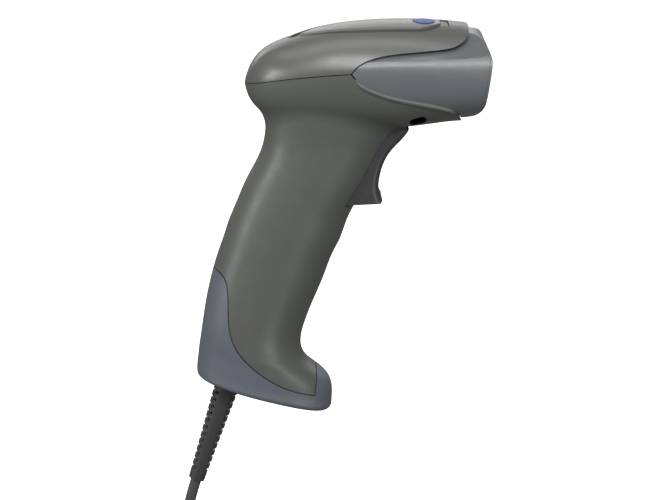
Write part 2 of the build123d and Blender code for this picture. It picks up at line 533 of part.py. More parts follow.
# ---- scan engine and boards ---------------------------------------------------------
def make_engine():
    """The scan engine: a frame, lens barrel and lens, sensor board and chip, lights."""
    (x0, x1), z = ENGINE_X, ENGINE_Z
    w, h = ENGINE_HALF
    inner_w, inner_h = w - ENGINE_WALL, h - ENGINE_WALL
    board_w, board_h = inner_w - SMALL_GAP, inner_h - SMALL_GAP
    frame = block(x0, x1, -w, w, z - h, z + h)
    frame -= block(x0 - 1, x1 - ENGINE_WALL, -inner_w, inner_w, z - inner_h, z + inner_h)
    frame -= rod((x1 - 5, 0, z), (x1 + 5, 0, z), BARREL_R + 0.1)
    for y in LED_Y:
        frame -= rod((x1 - 5, y, z), (x1 + 5, y, z), LED_R + 0.3)
    back, fore = x1 - BARREL_REACH[0], x1 + BARREL_REACH[1]
    barrel = rod((back, 0, z), (fore, 0, z), BARREL_R) - rod((back - 1, 0, z), (fore + 1, 0, z), LENS_R)
    lens = rod((x1 - LENS_REACH[0], 0, z), (x1 + LENS_REACH[1], 0, z), LENS_R - LENS_GAP)
    lens = lens.fillet(LENS_ROUND, [max(lens.edges(), key=lambda e: e.center().X)])
    face = x0 + SMALL_GAP + SMALL_BOARD
    board = block(x0 + SMALL_GAP, face, -board_w, board_w, z - board_h, z + board_h)
    chip = block(face, face + SENSOR[0], -SENSOR[1], SENSOR[1], z - SENSOR[2], z + SENSOR[2])
    lit = x1 - LED_BACK
    lights = block(lit - SMALL_BOARD, lit, -board_w, board_w, z - board_h, z + board_h)
    lights -= rod((lit - 3, 0, z), (lit + 3, 0, z), BARREL_R + 0.4)
    tip = x1 + LED_STAND
    leds = [rod((lit, y, z), (tip, y, z), LED_R) + Pos(tip, y, z) * Sphere(LED_R) for y in LED_Y]
    return {"engine_frame": frame, "lens_barrel": barrel, "objective_lens": lens,
            "sensor_board": board, "image_sensor": chip, "light_board": lights,
            "light_leds": Compound([only_solid(led) for led in leds])}


def make_bracket():
    """The bracket under the engine: a plate on four short legs that stands on the eyelet sleeve."""
    top = BRACKET_Z + BRACKET_THICK
    plate = block(*BRACKET_X, -BRACKET_HALF, BRACKET_HALF, BRACKET_Z, top)
    for side in (-1, 1):
        for x in LEG_X:
            plate += rod((x, side * LEG_Y, BRACKET_Z), (x, side * LEG_Y, ENGINE_Z - ENGINE_HALF[1]), LEG_R)
        foot = block(*FOOT_X, *sorted(side * y for y in FOOT_Y), FOOT_Z, BRACKET_Z + BRACKET_THICK / 2)
        plate += foot - eyelet_prism(EYELET_WALL + 0.02)
    return only_solid(plate)


def make_board():
    """The main board over the engine, with its chips, connectors, buzzer and status lamp."""
    bottom, top = BOARD_Z, BOARD_Z + BOARD_THICK
    outline = [(x, -y) for x, y in BOARD_HALF] + BOARD_HALF[::-1]
    board = extrude(Face(Wire.make_polygon([Vector(x, y, bottom) for x, y in outline])), amount=BOARD_THICK)
    for x, y in HEAD_SCREWS:
        board -= rod((x, y, bottom - 1), (x, y, top + 1), SCREW_R + 0.15)
    chips = [block(x - a, x + a, y - b, y + b, top, top + CHIP_HIGH) for x, y, a, b in CHIPS]
    plugs = [block(x0, x1, -w, w, bottom - high, bottom) for x0, x1, w, high in CONNECTORS]
    buzzer = rod((*BUZZER, top), (*BUZZER, top + BUZZER_HIGH), BUZZER_R)
    a, b, high = LAMP
    lamp = block(LIGHT_X - a, LIGHT_X + a, -b, b, top, top + high)
    return {"main_board": board, "board_chips": Compound([only_solid(c) for c in chips]),
            "board_connectors": Compound([only_solid(p) for p in plugs]), "buzzer": buzzer,
            "status_lamp": lamp}


def flat_lead(points, width, thick, radius):
    """A flat cable: a filleted path in the XZ plane, given thickness and then width."""
    path = FilletPolyline([Vector(x, 0, z) for x, z in points], radius=radius)
    start = Plane(origin=path @ 0, x_dir=(0, 1, 0), z_dir=path % 0)
    return only_solid(sweep(start * Rectangle(width, thick), path=path))


# ---- trigger ------------------------------------------------------------------------
def make_trigger():
    """The trigger: a hollow finger piece with two bored lugs round the hinge pin."""
    px, pz = PIVOT
    front = Spline([Vector(x, 0, z) for x, z in TRIGGER_FRONT])
    rest = Polyline([Vector(x, 0, z) for x, z in [TRIGGER_FRONT[-1]] + TRIGGER_TOE + TRIGGER_REAR
                     + [TRIGGER_FRONT[0]]])
    outline = Face(Wire([front] + list(rest.edges())))
    body = across(outline, TRIGGER_HALF)
    edges = [e for e in body.edges() if e.geom_type == GeomType.BSPLINE]
    body = only_solid(body).fillet(TRIGGER_EDGE, edges)
    body -= across(side_polygon(TRIGGER_POCKET), TRIGGER_HALF - TRIGGER_WALL)
    web = side_polygon([(px - LUG_R, pz), (px + LUG_R, pz)] + LUG_WEB)
    for side in (-1, 1):
        near, far = side * LUG_Y[0], side * LUG_Y[1]
        body += rod((px, near, pz), (px, far, pz), LUG_R)
        body += Pos(0, (near + far) / 2, 0) * across(web, abs(far - near) / 2)
    half, high = PAD_HALF
    body += block(*PAD_X, -half, half, SWITCH_Z - high, SWITCH_Z + high)
    bore = rod((px, -PIN_LENGTH, pz), (px, PIN_LENGTH, pz), PIN_R + PIN_CLEARANCE)
    return only_solid(body - bore)


def make_spring():
    """The torsion spring round the hinge pin, with a leg on the trigger and one on the casing."""
    px, pz = PIVOT
    half = SPRING_PITCH * SPRING_TURNS / 2
    turns = Helix(pitch=SPRING_PITCH, height=2 * half, radius=SPRING_R,
                  center=(0, 0, -half), direction=(0, 0, 1))
    section = Plane(origin=turns @ 0, z_dir=turns % 0) * Circle(SPRING_WIRE / 2)
    coil = sweep(section, path=turns, is_frenet=True)
    coil = Plane(origin=(px, 0, pz), x_dir=(1, 0, 0), z_dir=(0, -1, 0)) * coil
    radius, x = SPRING_WIRE / 2 - LEG_THINNING, px + SPRING_R
    lower = rod((x, half, pz + 0.2), (x, half, pz - SPRING_LEGS[0]), radius)
    upper = rod((x, -half, pz - 0.2), (x - 0.8, -half, pz + SPRING_LEGS[1]), radius)
    return only_solid(only_solid(coil) + lower + upper)


def make_switch():
    """The switch behind the trigger, its plunger and the small board that carries it."""
    x, z = SWITCH_FRONT, SWITCH_Z
    w, h = SWITCH_HALF
    rear, front = SWITCH_BOARD_X, SWITCH_BOARD_X + BOARD_THICK
    body = block(front, x, -w, w, z - h, z + h)
    body -= rod((x - SWITCH_BORE, 0, z), (x + 1, 0, z), PLUNGER_R + PLUNGER_CLEARANCE)
    plunger = rod((x - PLUNGER_IN, 0, z), (PAD_X[0] - PLUNGER_GAP, 0, z), PLUNGER_R)
    board = block(rear, front, -SWITCH_BOARD_HALF, SWITCH_BOARD_HALF, *SWITCH_BOARD_Z)
    return {"trigger_switch": body, "switch_plunger": plunger, "switch_board": board}


# ---- lead ---------------------------------------------------------------------------
def relief_plane(distance=0.0):
    """The plane across the lead, the given distance along it from the base."""
    lean = math.radians(RELIEF_LEAN)
    out = Vector(-math.sin(lean), 0, -math.cos(lean))
    origin = Vector(RELIEF_ROOT[0], 0, RELIEF_ROOT[1]) + out * distance
    return Plane(origin=origin, x_dir=(0, 1, 0), z_dir=out)


def make_relief():
    """The strain relief: a tapered sleeve, notched in pairs either side of a central spine."""
    root = relief_plane(-RELIEF_INSIDE) * Circle(RELIEF_ROOT_D / 2)
    tip = relief_plane(RELIEF_LENGTH) * Circle(RELIEF_TIP_D / 2)
    sleeve = loft([root, tip])
    depth, thick = COLLAR
    collar = extrude(relief_plane(-depth) * Circle(OUTLET_R + COLLAR_WIDER), amount=-thick)
    pitch = (RELIEF_LENGTH - 2 * NOTCH_FROM) / RELIEF_NOTCHES
    for i in range(RELIEF_NOTCHES):
        at = NOTCH_FROM + pitch * (i + 0.5)
        radius = (RELIEF_ROOT_D + (RELIEF_TIP_D - RELIEF_ROOT_D) * at / RELIEF_LENGTH) / 2
        notch = Box(2 * radius * NOTCH_REACH, RELIEF_ROOT_D, pitch * NOTCH_SHARE)
        for side in (-1, 1):
            middle = side * (radius * NOTCH_DEEP + RELIEF_ROOT_D / 2)
            sleeve -= relief_plane(at) * Pos(0, middle, 0) * notch
    return only_solid(sleeve + collar)


def lead_points():
    """The hanging lead's route, from the strain relief down to the coil on the table."""
    start = relief_plane(RELIEF_LENGTH).origin
    low = COIL_BASE + CORD_D / 2
    left = COIL_CENTRE[0] - COIL_MEAN_R - CORD_D
    route = [(-44.4, 0.0, -130.2), (-46.3, -0.6, -148.0), (-46.4, -2.2, -166.0), (-45.4, -3.5, -183.0),
             (-43.2, 3.0, -198.0), (left - 0.2, 14.0, low)]
    return [Vector(start.X, 0, start.Z)] + [Vector(*p) for p in route] + [Vector(left, 22.0, low)]


def around_coil(angle, radius, z):
    """A point at an angle in degrees and a radius about the coil's centre."""
    turn = math.radians(angle)
    return Vector(COIL_CENTRE[0] + radius * math.cos(turn), COIL_CENTRE[1] + radius * math.sin(turn), z)


def tail_points():
    """The lead's tail: off the coil's top turn and round into the plug that lies on it."""
    rise = [(78.0, -188.2), (60.0, -187.2), (42.0, -184.6), (24.0, -182.7), (6.0, -182.7)]
    return [around_coil(angle, COIL_MEAN_R, z) for angle, z in rise]


def bend_radii(points):
    """The largest arc at each corner: 0.45 of its shorter run over the tangent of half its turn."""
    radii = []
    for a, b, c in zip(points, points[1:], points[2:]):
        turn = math.radians((b - a).get_angle(c - b))
        radii.append(0.45 * min((b - a).length, (c - b).length) / math.tan(turn / 2))
    return radii


def tube(points):
    """A round cord along straight runs and tangent arcs; prints its radii and its volume's error."""
    radii = bend_radii(points)
    path = FilletPolyline(points, radius=radii)
    cord = sweep(Plane(origin=path @ 0, z_dir=path % 0) * Circle(CORD_D / 2), path=path)
    expect = math.pi * CORD_D ** 2 / 4 * path.length
    print("cord length", round(path.length, 1), "radii", [round(r, 1) for r in radii],
          "volume ratio", round(cord.volume / expect, 4))
    return only_solid(cord)


def make_coil():
    """The put-away lead, wound into a neat round coil, and the tie that holds it."""
    low, top = COIL_BASE, COIL_BASE + COIL_LAYERS * CORD_D
    wide = COIL_COLUMNS * CORD_D
    inner, outer = COIL_MEAN_R - wide / 2, COIL_MEAN_R + wide / 2
    ring = Pos(*COIL_CENTRE, (low + top) / 2) * (Cylinder(outer, top - low) - Cylinder(inner, top - low))
    ring = only_solid(ring)
    ring = ring.fillet(CORD_D / 2 - 0.1, ring.edges().filter_by(GeomType.CIRCLE))
    middle = around_coil(TIE_ANGLE, COIL_MEAN_R, (low + top) / 2)
    radial = around_coil(TIE_ANGLE, 1.0, 0) - around_coil(TIE_ANGLE, 0.0, 0)
    place = Plane(origin=middle, x_dir=radial, z_dir=Vector(-radial.Y, radial.X, 0))
    w, h = wide + 4 * TIE_GAP, top - low + 2 * TIE_GAP
    band = Rectangle(w + 2 * TIE_THICK, h + 2 * TIE_THICK) - Rectangle(w, h)
    tie = extrude(place * band, amount=TIE_WIDTH / 2, both=True)
    thick, tall, wider = TIE_LOCK
    lock = Pos((w + thick) / 2 + TIE_THICK / 2, 0, 0) * Box(thick, tall, TIE_WIDTH + wider)
    return {"cable_coil": ring, "cable_tie": only_solid(tie + place * lock)}


def make_plug():
    """The plug on the lead's end: a moulded grip, its metal shell and the contacts in it."""
    points = tail_points()
    along = (points[-1] - points[-2])
    along = Vector(along.X, along.Y, 0).normalized()
    place = Plane(origin=points[-1], x_dir=along, z_dir=(0, 0, 1))
    grip = only_solid(Pos(PLUG_GRIP[0] / 2, 0, 0) * Box(*PLUG_GRIP))
    grip = grip.fillet(PLUG_ROUND, grip.edges().filter_by(Axis.X))
    long, wall = PLUG_SLEEVE
    bore = CORD_D / 2 + SLEEVE_GAP
    sleeve = Pos(-long / 2, 0, 0) * Rot(0, 90, 0) * (Cylinder(CORD_D / 2 + wall, long) - Cylinder(bore, long))
    length, w, h = PLUG_SHELL
    shell = Box(length, w, h) - Pos(SHELL_BACK, 0, 0) * Box(length, w - 2 * SHELL_SHEET, h - 2 * SHELL_SHEET)
    shorter, narrower, thick, up = CONTACTS
    contact = Pos(-0.2, 0, up) * Box(length - shorter, w - narrower, thick)
    middle = Pos(PLUG_GRIP[0] + length / 2, 0, 0)
    return {"usb_plug_grip": place * only_solid(grip + sleeve), "usb_plug_shell": place * middle * shell,
            "usb_plug_contacts": place * middle * contact}


def make_inner_lead():
    """The socket in the base, the connector plugged into it and the harness up the grip."""
    pocket = [side + SOCKET_GAP for side in SOCKET_POCKET]
    mouth = relief_plane(SOCKET_MOUTH)
    socket = extrude(mouth * Rectangle(*SOCKET_OUTSIDE), amount=-SOCKET_LENGTH)
    socket -= extrude(mouth * Rectangle(*pocket), amount=-SOCKET_LENGTH + SOCKET_BACK)
    end = relief_plane(SOCKET_MOUTH + CABLE_PLUG_AT) * Rectangle(*SOCKET_POCKET)
    plug = extrude(end, amount=-SOCKET_LENGTH + CABLE_PLUG_SHORTER)
    top = relief_plane(SOCKET_MOUTH - SOCKET_LENGTH).origin
    harness = flat_lead([(top.X, top.Z)] + HARNESS_ROUTE, *HARNESS, HARNESS_BEND)
    flex = flat_lead(FLEX_ROUTE, *FLEX, FLEX_BEND)
    return {"cable_socket": only_solid(socket), "cable_plug": plug, "handle_harness": harness,
            "engine_flex": flex}


# ---- fasteners ----------------------------------------------------------------------
def screw(plane, length):
    """A flat-topped screw: its head stands above the plane and its shank goes down from it."""
    shank = plane * Pos(0, 0, -length / 2) * Cylinder(SCREW_R, length)
    head = plane * Pos(0, 0, SCREW_HEAD / 2) * Cylinder(SCREW_HEAD_R, SCREW_HEAD)
    slots = Box(CROSS_LONG, CROSS_WIDE, 2 * CROSS_DEPTH) + Box(CROSS_WIDE, CROSS_LONG, 2 * CROSS_DEPTH)
    cross = plane * Pos(0, 0, SCREW_HEAD) * slots
    return only_solid((shank + head) - cross)


def make_screws():
    """The board screws down into their posts, and the base screw up into its post."""
    top = BOARD_Z + BOARD_THICK
    board = [screw(Plane(origin=(x, y, top), z_dir=(0, 0, 1)), BOARD_SCREW) for x, y in HEAD_SCREWS]
    return {"board_screws": Compound(board), "base_screw": screw(base_plane(SCREW_RECESS), BASE_SCREW)}


def main():
    skin = outer_skin()
    shell = skin - (head_solid(WALL) + grip_solid(WALL))
    px, pz = PIVOT
    pieces = {
        "top_cover": make_cover(shell), "handle_housing": make_housing(shell, skin),
        "base_cover": make_boot(shell), "nose_bezel": make_bezel(),
        **make_panel(), **make_front(), **make_engine(), **make_board(), **make_switch(),
        "engine_bracket": make_bracket(), "trigger": make_trigger(), "trigger_spring": make_spring(),
        "trigger_pin": rod((px, -PIN_LENGTH / 2, pz), (px, PIN_LENGTH / 2, pz), PIN_R),
        "strain_relief": make_relief(), **make_inner_lead(),
        "cable": tube(lead_points()), "cable_tail": tube(tail_points()), **make_coil(), **make_plug(),
        **make_screws(),
    }
    for name, piece in pieces.items():
        save(name, piece)


main()
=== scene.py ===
"""Handheld barcode scanner: materials, the loose lead and the studio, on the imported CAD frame."""
import json
import math

import bpy
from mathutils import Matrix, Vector
from mathutils.bvhtree import BVHTree


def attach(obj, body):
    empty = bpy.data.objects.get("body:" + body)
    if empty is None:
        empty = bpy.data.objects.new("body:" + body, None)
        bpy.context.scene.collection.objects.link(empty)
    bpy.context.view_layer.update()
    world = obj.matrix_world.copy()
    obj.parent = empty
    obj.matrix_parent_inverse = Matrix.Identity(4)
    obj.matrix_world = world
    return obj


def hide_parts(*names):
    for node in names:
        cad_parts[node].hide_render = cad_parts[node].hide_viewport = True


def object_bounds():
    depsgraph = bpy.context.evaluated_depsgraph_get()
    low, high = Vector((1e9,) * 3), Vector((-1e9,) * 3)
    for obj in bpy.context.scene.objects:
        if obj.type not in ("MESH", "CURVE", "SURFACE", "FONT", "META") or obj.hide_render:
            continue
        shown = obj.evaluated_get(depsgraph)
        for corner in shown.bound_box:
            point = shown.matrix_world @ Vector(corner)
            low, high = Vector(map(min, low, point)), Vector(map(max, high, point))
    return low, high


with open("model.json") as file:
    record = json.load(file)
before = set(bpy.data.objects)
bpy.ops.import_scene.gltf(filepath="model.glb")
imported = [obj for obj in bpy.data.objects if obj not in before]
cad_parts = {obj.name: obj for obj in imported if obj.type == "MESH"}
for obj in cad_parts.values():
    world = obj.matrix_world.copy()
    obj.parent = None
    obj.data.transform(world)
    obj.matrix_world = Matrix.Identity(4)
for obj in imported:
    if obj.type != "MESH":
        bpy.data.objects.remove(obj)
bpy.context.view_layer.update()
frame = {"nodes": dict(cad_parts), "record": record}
NODES = frame["nodes"]
MM = 0.001
OUTSIDE = 0.1                # metres from the middle plane, clear of the scanner on either side


def new_object(name, data):
    """An object for the data, linked into the scene."""
    thing = bpy.data.objects.new(name, data)
    bpy.context.scene.collection.objects.link(thing)
    return thing


def tube(name, places, radius, order, steps_along, steps_around, widths=None):
    """A round tube with closed ends on a NURBS line; widths scale its radius place by place."""
    data = bpy.data.curves.new(name, "CURVE")
    data.dimensions = "3D"
    spline = data.splines.new("NURBS")
    spline.points.add(len(places) - 1)
    for point, place, width in zip(spline.points, places, widths or [1.0] * len(places)):
        point.co = (*place, 1.0)
        point.radius = width
    spline.order_u = order
    spline.use_endpoint_u = True
    spline.resolution_u = steps_along
    data.bevel_depth = radius
    data.bevel_resolution = steps_around
    data.use_fill_caps = True
    return new_object(name, data)


def cast_inwards(skin, x, z, side):
    """Where a ray from outside on one side first meets the skin, and the normal there."""
    return skin.ray_cast(Vector((x, side * OUTSIDE, z)), Vector((0, -side, 0)))[:2]


# ---- the lead: the part's own route, in metres -----------------------------------------
CORD_D = 4.8 * MM
LEAD = [(-0.04013, 0.0, -0.11665), (-0.0444, 0.0, -0.1302), (-0.0463, -0.0006, -0.1480),
        (-0.0464, -0.0022, -0.1660), (-0.0454, -0.0035, -0.1830), (-0.0432, 0.0030, -0.1980),
        (-0.0410, 0.0140, -0.2036), (-0.0408, 0.0220, -0.2036)]
COIL_CENTRE = (-0.009, 0.032)
COIL_BASE, COIL_MEAN_R = -0.206, 0.027
COIL_COLUMNS = 3
COIL_START = 192             # degrees about the coil's centre where the first turn is counted from
POINTS_A_TURN = 16
FULL_TURNS = 10
JOINS_AT, LEAVES_AT = 2, 4   # points after the count's start, and after the full turns' end
STEP_START, STEP_PART = 0.7, 0.3    # the part of a turn where the lead moves to its next place
TAIL = [(78, -0.1882), (60, -0.1872), (42, -0.1846), (24, -0.1827), (6, -0.1827)]  # degrees, Z


def around_coil(degrees, radius, z):
    """A point at an angle and a radius about the coil's centre."""
    turn = math.radians(degrees)
    return (COIL_CENTRE[0] + radius * math.cos(turn), COIL_CENTRE[1] + radius * math.sin(turn), z)


def slot_place(turn):
    """Radius and height of a whole turn: inwards over the columns, up a layer, then outwards."""
    layer, step = divmod(turn, COIL_COLUMNS)
    middle = COIL_COLUMNS // 2
    column = middle - step if layer % 2 == 0 else step - middle
    return COIL_MEAN_R + column * CORD_D, COIL_BASE + CORD_D * (layer + 0.5)


def coil_points():
    """The wound turns, clockwise from the lead's arrival, each stepping over in its last part."""
    points = []
    for i in range(JOINS_AT, FULL_TURNS * POINTS_A_TURN + LEAVES_AT):
        turn, part = divmod(i, POINTS_A_TURN)
        r0, z0 = slot_place(turn)
        r1, z1 = slot_place(turn + 1)
        late = max(0.0, part / POINTS_A_TURN - STEP_START) / STEP_PART
        eased = late * late * (3 - 2 * late)
        radius, z = r0 + (r1 - r0) * eased, z0 + (z1 - z0) * eased
        points.append(around_coil(COIL_START - 360 * i / POINTS_A_TURN, radius, z))
    return points


def cord_line():
    """The whole lead as one smooth tube: hanging run, coil and tail."""
    tail = [around_coil(angle, COIL_MEAN_R, z) for angle, z in TAIL]
    return tube("lead", LEAD + coil_points() + tail, CORD_D / 2, 3, 6, 6)


# ---- the rolled lip under the nose bezel ------------------------------------------------
# The seam's side outline, as X and Z in millimetres, a little below the bezel's edge.
LIP_EDGE = [(29.4, 70.6), (32.6, 67.2), (40.2, 63.7), (48.7, 61.2), (57.2, 59.4), (65.8, 57.5),
            (70.4, 55.9), (73.2, 53.6)]
LIP_RADIUS = 1.35 * MM
LIP_SINK = 0.75 * MM         # how deep the lip's middle lies under the housing's skin
LIP_STEPS = 72
LIP_LEAST_Y = 0.01           # a ray that lands nearer the middle plane has missed the flank
# Share of the full radius at each end, and how much it gains over the lip's whole length.
LIP_REAR, LIP_FRONT = (0.35, 5), (0.30, 7)


def smooth_line(points, steps):
    """Points along a Catmull-Rom spline through the given ones, about as many as the steps."""
    line = []
    ends = [points[0]] + points + [points[-1]]
    count = steps // (len(points) - 1)
    for a, b, c, d in zip(ends, ends[1:], ends[2:], ends[3:]):
        for i in range(count):
            t = i / count
            line.append(tuple(0.5 * (2 * q + (r - p) * t + (2 * p - 5 * q + 4 * r - s) * t * t
                                     + (3 * q - p - 3 * r + s) * t ** 3)
                              for p, q, r, s in zip(a, b, c, d)))
    return line + [points[-1]]


def lip_width(along):
    """The lip's share of its full radius, at a part of its length from the rear end."""
    return min(1.0, LIP_REAR[0] + along * LIP_REAR[1],
               LIP_FRONT[0] + (1 - along) * LIP_FRONT[1])


def make_lips(skin):
    """A soft bead along each side's bezel seam, laid on the housing's skin, thin at its ends."""
    for side, name in ((-1, "near_lip"), (1, "far_lip")):
        places = []
        for x, z in smooth_line(LIP_EDGE, LIP_STEPS):
            hit, normal = cast_inwards(skin, x * MM, z * MM, side)
            if hit and hit.y * side > LIP_LEAST_Y:
                outward = normal if normal.y * side > 0 else -normal
                places.append(hit - outward * LIP_SINK)
        widths = [lip_width(i / (len(places) - 1)) for i in range(len(places))]
        lip = tube(name, places, LIP_RADIUS, 4, 12, 5, widths)
        lip.data.materials.append(MATERIALS["lower_shell"])
        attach(lip, "scanner")


# ---- materials -------------------------------------------------------------------------
def new_material(name):
    """A material that holds one Principled shader, its node tree, and the shader."""
    material = bpy.data.materials.new(name)
    material.use_nodes = True
    tree = material.node_tree
    tree.nodes.clear()
    out = tree.nodes.new("ShaderNodeOutputMaterial")
    shader = tree.nodes.new("ShaderNodeBsdfPrincipled")
    tree.links.new(shader.outputs[0], out.inputs[0])
    return material, tree, shader


def noise(tree, scale, detail=3.0, rough=0.5, stretch=None):
    """A noise texture in the object's own metres."""
    place = tree.nodes.new("ShaderNodeTexCoord")
    texture = tree.nodes.new("ShaderNodeTexNoise")
    texture.inputs["Scale"].default_value = scale
    texture.inputs["Detail"].default_value = detail
    texture.inputs["Roughness"].default_value = rough
    source = place.outputs["Object"]
    if stretch:
        mapping = tree.nodes.new("ShaderNodeMapping")
        mapping.inputs["Scale"].default_value = stretch
        tree.links.new(source, mapping.inputs["Vector"])
        source = mapping.outputs["Vector"]
    tree.links.new(source, texture.inputs["Vector"])
    return texture.outputs["Fac"]


def spread(tree, value, low, high):
    """The value's middle half stretched over a range."""
    ranger = tree.nodes.new("ShaderNodeMapRange")
    ranger.inputs["From Min"].default_value = 0.25
    ranger.inputs["From Max"].default_value = 0.75
    ranger.inputs["To Min"].default_value = low
    ranger.inputs["To Max"].default_value = high
    tree.links.new(value, ranger.inputs["Value"])
    return ranger.outputs["Result"]


def blend_colours(tree, fac, first, second):
    """A colour between two, by a factor from 0 to 1."""
    mix = tree.nodes.new("ShaderNodeMix")
    mix.data_type = "RGBA"
    mix.inputs["A"].default_value = (*first, 1)
    mix.inputs["B"].default_value = (*second, 1)
    tree.links.new(fac, mix.inputs["Factor"])
    return mix.outputs["Result"]


def bump(tree, shader, height, depth):
    """Gives the shader a fine relief, whose depth is in metres."""
    node = tree.nodes.new("ShaderNodeBump")
    node.inputs["Strength"].default_value = 1.0
    node.inputs["Distance"].default_value = depth
    tree.links.new(height, node.inputs["Height"])
    tree.links.new(node.outputs["Normal"], shader.inputs["Normal"])


def plastic(name, colour, rough, grain, depth, vary, specular=0.5, coat=0.0):
    """Moulded plastic: a fine spark-eroded grain, a faint mottle and slightly uneven gloss."""
    material, tree, shader = new_material(name)
    mottle = noise(tree, 90, 4, 0.6)
    dark = tuple(c * (1 - vary) for c in colour)
    light = tuple(min(1.0, c * (1 + vary)) for c in colour)
    tree.links.new(blend_colours(tree, mottle, dark, light), shader.inputs["Base Color"])
    fine = noise(tree, grain, 2, 0.5)
    gloss = spread(tree, noise(tree, 240, 3), rough - 0.05, rough + 0.05)
    tree.links.new(gloss, shader.inputs["Roughness"])
    bump(tree, shader, fine, depth)
    shader.inputs["Specular IOR Level"].default_value = specular
    shader.inputs["Coat Weight"].default_value = coat
    shader.inputs["Coat Roughness"].default_value = 0.12
    return material


def metal(name, colour, rough):
    """Bright metal with fine drawn lines."""
    material, tree, shader = new_material(name)
    lines = noise(tree, 600, 3, 0.6, (1, 1, 9))
    dark = tuple(c * 0.85 for c in colour)
    tree.links.new(blend_colours(tree, lines, dark, colour), shader.inputs["Base Color"])
    tree.links.new(spread(tree, lines, rough - 0.06, rough + 0.06), shader.inputs["Roughness"])
    bump(tree, shader, lines, 0.00001)
    shader.inputs["Metallic"].default_value = 1.0
    return material


def circuit_board(name):
    """Green solder mask with faint tracks beneath it."""
    material, tree, shader = new_material(name)
    place = tree.nodes.new("ShaderNodeTexCoord")
    tracks = tree.nodes.new("ShaderNodeTexBrick")
    tracks.inputs["Scale"].default_value = 260
    tracks.inputs["Mortar Size"].default_value = 0.06
    tracks.inputs["Color1"].default_value = (0.008, 0.10, 0.035, 1)
    tracks.inputs["Color2"].default_value = (0.010, 0.13, 0.045, 1)
    tracks.inputs["Mortar"].default_value = (0.02, 0.20, 0.07, 1)
    tree.links.new(place.outputs["Object"], tracks.inputs["Vector"])
    tree.links.new(tracks.outputs["Color"], shader.inputs["Base Color"])
    tree.links.new(spread(tree, noise(tree, 500), 0.28, 0.38), shader.inputs["Roughness"])
    bump(tree, shader, tracks.outputs["Fac"], 0.00003)
    return material


def light_lens(name):
    """An opaque deep blue lens with a faint even glow of its own."""
    material, tree, shader = new_material(name)
    deep, bright = (0.003, 0.012, 0.11), (0.006, 0.025, 0.20)
    cells = noise(tree, 700, 2)
    blue = blend_colours(tree, cells, deep, bright)
    tree.links.new(blue, shader.inputs["Base Color"])
    tree.links.new(blue, shader.inputs["Emission Color"])
    shader.inputs["Emission Strength"].default_value = 0.30
    tree.links.new(spread(tree, cells, 0.30, 0.38), shader.inputs["Roughness"])
    shader.inputs["Specular IOR Level"].default_value = 0.12
    return material


def dark_window(name):
    """A deep red-black scan window: glossy, with a faint haze."""
    material, tree, shader = new_material(name)
    haze = noise(tree, 60, 3)
    tree.links.new(blend_colours(tree, haze, (0.012, 0.001, 0.002), (0.020, 0.002, 0.003)),
                   shader.inputs["Base Color"])
    tree.links.new(spread(tree, haze, 0.04, 0.08), shader.inputs["Roughness"])
    shader.inputs["Coat Weight"].default_value = 1.0
    shader.inputs["Coat Roughness"].default_value = 0.03
    return material


def clear_glass(name):
    """Clear lens glass with a faint blue-violet cast."""
    material, tree, shader = new_material(name)
    tree.links.new(blend_colours(tree, noise(tree, 300), (0.70, 0.78, 0.95), (0.85, 0.80, 0.95)),
                   shader.inputs["Base Color"])
    tree.links.new(spread(tree, noise(tree, 200), 0.01, 0.04), shader.inputs["Roughness"])
    shader.inputs["Transmission Weight"].default_value = 0.85
    shader.inputs["IOR"].default_value = 1.5
    return material


# Colour, roughness, the grain's scale, its depth in metres, how much the colour varies, and
# where they differ from the usual, specular level and coat.
PLASTICS = {
    "upper_shell": ((0.084, 0.086, 0.081), 0.345, 2600, 0.00001, 0.05, 0.7),
    "lower_shell": ((0.080, 0.085, 0.076), 0.42, 1900, 0.00004, 0.06),
    "base_shell": ((0.095, 0.105, 0.125), 0.46, 1900, 0.00004, 0.06),
    "bezel": ((0.105, 0.112, 0.118), 0.36, 2600, 0.00002, 0.05, 0.55, 0.08),
    "panel": ((0.16, 0.16, 0.152), 0.34, 2400, 0.00002, 0.05, 0.6),
    "surround": ((0.045, 0.045, 0.044), 0.36, 2400, 0.00002, 0.06),
    "trigger": ((0.034, 0.034, 0.036), 0.42, 2100, 0.00003, 0.06),
    "relief": ((0.035, 0.033, 0.034), 0.48, 1500, 0.00004, 0.10),
    "cable_jacket": ((0.055, 0.055, 0.056), 0.36, 900, 0.00003, 0.10),
    "gasket": ((0.012, 0.012, 0.012), 0.85, 900, 0.00008, 0.2, 0.3),
    "engine_plastic": ((0.02, 0.02, 0.02), 0.5, 1500, 0.00003, 0.1),
    "chip": ((0.014, 0.014, 0.015), 0.55, 1800, 0.00002, 0.1),
    "lamp": ((0.80, 0.78, 0.66), 0.16, 900, 0.00001, 0.05, 0.6, 0.5),
    "connector": ((0.62, 0.60, 0.50), 0.42, 1200, 0.00002, 0.06),
    "plug_plastic": ((0.42, 0.43, 0.43), 0.14, 500, 0.00001, 0.04, 0.6, 0.6),
    "flat_cable": ((0.02, 0.02, 0.02), 0.4, 700, 0.00003, 0.12),
    "flex_cable": ((0.40, 0.16, 0.02), 0.22, 600, 0.00001, 0.12, 0.6, 0.5),
    "tie": ((0.012, 0.012, 0.012), 0.34, 1400, 0.00002, 0.1),
    "plug_grip": ((0.022, 0.022, 0.023), 0.46, 1500, 0.00004, 0.1),
    "contact_block": ((0.80, 0.80, 0.78), 0.38, 900, 0.00001, 0.03),
}
METALS = {
    "spring_steel": ((0.62, 0.62, 0.60), 0.30),
    "pin_steel": ((0.62, 0.62, 0.62), 0.26),
    "plug_metal": ((0.80, 0.79, 0.76), 0.20),
}
MATERIALS = {name: plastic(name, *look) for name, look in PLASTICS.items()}
MATERIALS.update((name, metal(name, *look)) for name, look in METALS.items())
